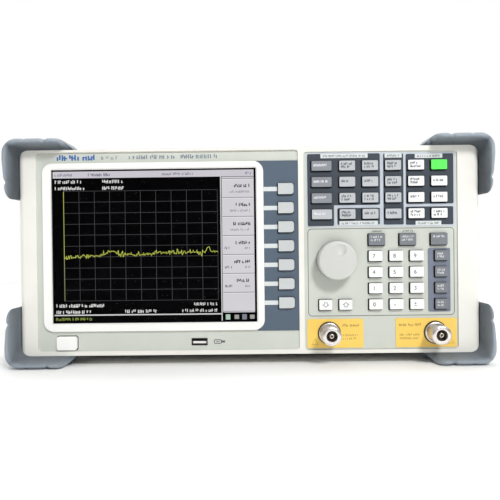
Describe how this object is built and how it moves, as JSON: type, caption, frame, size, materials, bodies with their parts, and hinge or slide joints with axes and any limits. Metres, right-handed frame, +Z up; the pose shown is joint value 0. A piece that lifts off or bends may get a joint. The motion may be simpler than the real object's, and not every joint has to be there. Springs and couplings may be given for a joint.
{
  "type": "spectrum analyzer",
  "caption": "Bench spectrum analyzer with a colour display, soft keys, keypad, tuning knob and two coaxial ports in a case with rubber corner bumpers.",
  "frame": {"origin": "on the floor, at the centre of the footprint", "axes": "+X to the right seen from the front, +Y from the front to the back, +Z up"},
  "size_m": [0.401, 0.349, 0.189],
  "materials": {
    "bezel_plastic": "fine satin moulded plastic",
    "panel_plastic": "light grey printed panel",
    "surround_plastic": "smooth white plastic",
    "window_glass": "clear window",
    "display": "lit colour display",
    "slate_overlay": "slate grey printed overlay",
    "yellow_overlay": "yellow printed overlay",
    "circuit_board": "green solder mask",
    "nickel": "nickel plated brass",
    "rubber": "slate grey soft rubber",
    "case_paint": "fine textured powder coat",
    "plated_steel": "zinc plated sheet steel",
    "screen_alloy": "milled aluminium",
    "black_plastic": "black moulded plastic",
    "copper": "copper semi-rigid line",
    "knob_plastic": "pale grey satin plastic",
    "white_key": "white moulded key",
    "light_key": "light grey moulded key",
    "grey_key": "mid grey moulded key",
    "handle_grip": "dark grey rubber over steel"
  },
  "bodies": {
    "root": {"front_bezel": "bezel_plastic", "front_panel": "panel_plastic", "display_surround": "surround_plastic", "display_window": "window_glass", "lcd_module": "display", "key_plates": "slate_overlay", "port_plates": "yellow_overlay", "front_board": "circuit_board", "rf_ports": "nickel", "usb_port": "plated_steel", "corner_bumpers": "rubber", "top_cover": "case_paint", "bottom_tray": "case_paint", "rear_panel": "case_paint", "fan_frame": "black_plastic", "power_supply": "circuit_board", "main_board": "circuit_board", "rf_module": "screen_alloy", "tracking_generator": "screen_alloy", "mains_inlet": "black_plastic", "rear_connectors": "nickel", "cover_screws": "plated_steel", "rf_cables": "copper"},
    "power_key": {"power_key": "white_key"},
    "soft_key_1": {"soft_key_1": "light_key"},
    "soft_key_2": {"soft_key_2": "light_key"},
    "soft_key_3": {"soft_key_3": "light_key"},
    "soft_key_4": {"soft_key_4": "light_key"},
    "soft_key_5": {"soft_key_5": "light_key"},
    "soft_key_6": {"soft_key_6": "light_key"},
    "soft_key_7": {"soft_key_7": "light_key"},
    "digit_key_0": {"digit_key_0": "white_key"},
    "digit_key_1": {"digit_key_1": "white_key"},
    "digit_key_2": {"digit_key_2": "white_key"},
    "digit_key_3": {"digit_key_3": "white_key"},
    "digit_key_4": {"digit_key_4": "white_key"},
    "digit_key_5": {"digit_key_5": "white_key"},
    "digit_key_6": {"digit_key_6": "white_key"},
    "digit_key_7": {"digit_key_7": "white_key"},
    "digit_key_8": {"digit_key_8": "white_key"},
    "digit_key_9": {"digit_key_9": "white_key"},
    "point_key": {"point_key": "white_key"},
    "sign_key": {"sign_key": "white_key"},
    "up_key": {"up_key": "white_key"},
    "down_key": {"down_key": "white_key"},
    "unit_key_1": {"unit_key_1": "grey_key"},
    "unit_key_2": {"unit_key_2": "grey_key"},
    "unit_key_3": {"unit_key_3": "grey_key"},
    "unit_key_4": {"unit_key_4": "grey_key"},
    "cancel_key": {"cancel_key": "grey_key"},
    "backspace_key": {"backspace_key": "grey_key"},
    "enter_key": {"enter_key": "grey_key"},
    "analyzer_keys": {"analyzer_keys": "grey_key"},
    "measurement_keys": {"measurement_keys": "light_key"},
    "marker_keys": {"marker_keys": "light_key"},
    "utility_keys": {"utility_keys": "white_key"},
    "setting_keys": {"setting_keys": "white_key"},
    "tuning_knob": {"tuning_knob": "knob_plastic"},
    "carry_handle": {"carry_handle": "handle_grip"},
    "fan_rotor": {"fan_rotor": "black_plastic"}
  },
  "joints": [
    {"name": "power_key_press", "type": "slide", "parent": "root", "child": "power_key", "axis": [0, 1, 0], "range_m": [0, 0.0012], "stiffness_N_per_m": 1000, "springref_m": -0.0004},
    {"name": "soft_key_1_press", "type": "slide", "parent": "root", "child": "soft_key_1", "axis": [0, 1, 0], "range_m": [0, 0.0012], "stiffness_N_per_m": 1000, "springref_m": -0.0004},
    {"name": "soft_key_2_press", "type": "slide", "parent": "root", "child": "soft_key_2", "axis": [0, 1, 0], "range_m": [0, 0.0012], "stiffness_N_per_m": 1000, "springref_m": -0.0004},
    {"name": "soft_key_3_press", "type": "slide", "parent": "root", "child": "soft_key_3", "axis": [0, 1, 0], "range_m": [0, 0.0012], "stiffness_N_per_m": 1000, "springref_m": -0.0004},
    {"name": "soft_key_4_press", "type": "slide", "parent": "root", "child": "soft_key_4", "axis": [0, 1, 0], "range_m": [0, 0.0012], "stiffness_N_per_m": 1000, "springref_m": -0.0004},
    {"name": "soft_key_5_press", "type": "slide", "parent": "root", "child": "soft_key_5", "axis": [0, 1, 0], "range_m": [0, 0.0012], "stiffness_N_per_m": 1000, "springref_m": -0.0004},
    {"name": "soft_key_6_press", "type": "slide", "parent": "root", "child": "soft_key_6", "axis": [0, 1, 0], "range_m": [0, 0.0012], "stiffness_N_per_m": 1000, "springref_m": -0.0004},
    {"name": "soft_key_7_press", "type": "slide", "parent": "root", "child": "soft_key_7", "axis": [0, 1, 0], "range_m": [0, 0.0012], "stiffness_N_per_m": 1000, "springref_m": -0.0004},
    {"name": "digit_key_0_press", "type": "slide", "parent": "root", "child": "digit_key_0", "axis": [0, 1, 0], "range_m": [0, 0.0012], "stiffness_N_per_m": 1000, "springref_m": -0.0004},
    {"name": "digit_key_1_press", "type": "slide", "parent": "root", "child": "digit_key_1", "axis": [0, 1, 0], "range_m": [0, 0.0012], "stiffness_N_per_m": 1000, "springref_m": -0.0004},
    {"name": "digit_key_2_press", "type": "slide", "parent": "root", "child": "digit_key_2", "axis": [0, 1, 0], "range_m": [0, 0.0012], "stiffness_N_per_m": 1000, "springref_m": -0.0004},
    {"name": "digit_key_3_press", "type": "slide", "parent": "root", "child": "digit_key_3", "axis": [0, 1, 0], "range_m": [0, 0.0012], "stiffness_N_per_m": 1000, "springref_m": -0.0004},
    {"name": "digit_key_4_press", "type": "slide", "parent": "root", "child": "digit_key_4", "axis": [0, 1, 0], "range_m": [0, 0.0012], "stiffness_N_per_m": 1000, "springref_m": -0.0004},
    {"name": "digit_key_5_press", "type": "slide", "parent": "root", "child": "digit_key_5", "axis": [0, 1, 0], "range_m": [0, 0.0012], "stiffness_N_per_m": 1000, "springref_m": -0.0004},
    {"name": "digit_key_6_press", "type": "slide", "parent": "root", "child": "digit_key_6", "axis": [0, 1, 0], "range_m": [0, 0.0012], "stiffness_N_per_m": 1000, "springref_m": -0.0004},
    {"name": "digit_key_7_press", "type": "slide", "parent": "root", "child": "digit_key_7", "axis": [0, 1, 0], "range_m": [0, 0.0012], "stiffness_N_per_m": 1000, "springref_m": -0.0004},
    {"name": "digit_key_8_press", "type": "slide", "parent": "root", "child": "digit_key_8", "axis": [0, 1, 0], "range_m": [0, 0.0012], "stiffness_N_per_m": 1000, "springref_m": -0.0004},
    {"name": "digit_key_9_press", "type": "slide", "parent": "root", "child": "digit_key_9", "axis": [0, 1, 0], "range_m": [0, 0.0012], "stiffness_N_per_m": 1000, "springref_m": -0.0004},
    {"name": "point_key_press", "type": "slide", "parent": "root", "child": "point_key", "axis": [0, 1, 0], "range_m": [0, 0.0012], "stiffness_N_per_m": 1000, "springref_m": -0.0004},
    {"name": "sign_key_press", "type": "slide", "parent": "root", "child": "sign_key", "axis": [0, 1, 0], "range_m": [0, 0.0012], "stiffness_N_per_m": 1000, "springref_m": -0.0004},
    {"name": "up_key_press", "type": "slide", "parent": "root", "child": "up_key", "axis": [0, 1, 0], "range_m": [0, 0.0012], "stiffness_N_per_m": 1000, "springref_m": -0.0004},
    {"name": "down_key_press", "type": "slide", "parent": "root", "child": "down_key", "axis": [0, 1, 0], "range_m": [0, 0.0012], "stiffness_N_per_m": 1000, "springref_m": -0.0004},
    {"name": "unit_key_1_press", "type": "slide", "parent": "root", "child": "unit_key_1", "axis": [0, 1, 0], "range_m": [0, 0.0012], "stiffness_N_per_m": 1000, "springref_m": -0.0004},
    {"name": "unit_key_2_press", "type": "slide", "parent": "root", "child": "unit_key_2", "axis": [0, 1, 0], "range_m": [0, 0.0012], "stiffness_N_per_m": 1000, "springref_m": -0.0004},
    {"name": "unit_key_3_press", "type": "slide", "parent": "root", "child": "unit_key_3", "axis": [0, 1, 0], "range_m": [0, 0.0012], "stiffness_N_per_m": 1000, "springref_m": -0.0004},
    {"name": "unit_key_4_press", "type": "slide", "parent": "root", "child": "unit_key_4", "axis": [0, 1, 0], "range_m": [0, 0.0012], "stiffness_N_per_m": 1000, "springref_m": -0.0004},
    {"name": "cancel_key_press", "type": "slide", "parent": "root", "child": "cancel_key", "axis": [0, 1, 0], "range_m": [0, 0.0012], "stiffness_N_per_m": 1000, "springref_m": -0.0004},
    {"name": "backspace_key_press", "type": "slide", "parent": "root", "child": "backspace_key", "axis": [0, 1, 0], "range_m": [0, 0.0012], "stiffness_N_per_m": 1000, "springref_m": -0.0004},
    {"name": "enter_key_press", "type": "slide", "parent": "root", "child": "enter_key", "axis": [0, 1, 0], "range_m": [0, 0.0012], "stiffness_N_per_m": 1000, "springref_m": -0.0004},
    {"name": "analyzer_keys_press", "type": "slide", "parent": "root", "child": "analyzer_keys", "axis": [0, 1, 0], "range_m": [0, 0.0012], "stiffness_N_per_m": 1000, "springref_m": -0.0004},
    {"name": "measurement_keys_press", "type": "slide", "parent": "root", "child": "measurement_keys", "axis": [0, 1, 0], "range_m": [0, 0.0012], "stiffness_N_per_m": 1000, "springref_m": -0.0004},
    {"name": "marker_keys_press", "type": "slide", "parent": "root", "child": "marker_keys", "axis": [0, 1, 0], "range_m": [0, 0.0012], "stiffness_N_per_m": 1000, "springref_m": -0.0004},
    {"name": "utility_keys_press", "type": "slide", "parent": "root", "child": "utility_keys", "axis": [0, 1, 0], "range_m": [0, 0.0012], "stiffness_N_per_m": 1000, "springref_m": -0.0004},
    {"name": "setting_keys_press", "type": "slide", "parent": "root", "child": "setting_keys", "axis": [0, 1, 0], "range_m": [0, 0.0012], "stiffness_N_per_m": 1000, "springref_m": -0.0004},
    {"name": "knob_turn", "type": "hinge", "parent": "root", "child": "tuning_knob", "pos_m": [0.0727, -0.16, 0.0861], "axis": [0, -1, 0], "continuous": true},
    {"name": "handle_lift", "type": "hinge", "parent": "root", "child": "carry_handle", "pos_m": [0, -0.005, 0.1838], "axis": [-1, 0, 0], "range_deg": [0, 90]},
    {"name": "fan_spin", "type": "hinge", "parent": "root", "child": "fan_rotor", "pos_m": [0.128, 0.145, 0.096], "axis": [0, 1, 0], "continuous": true}
  ]
}
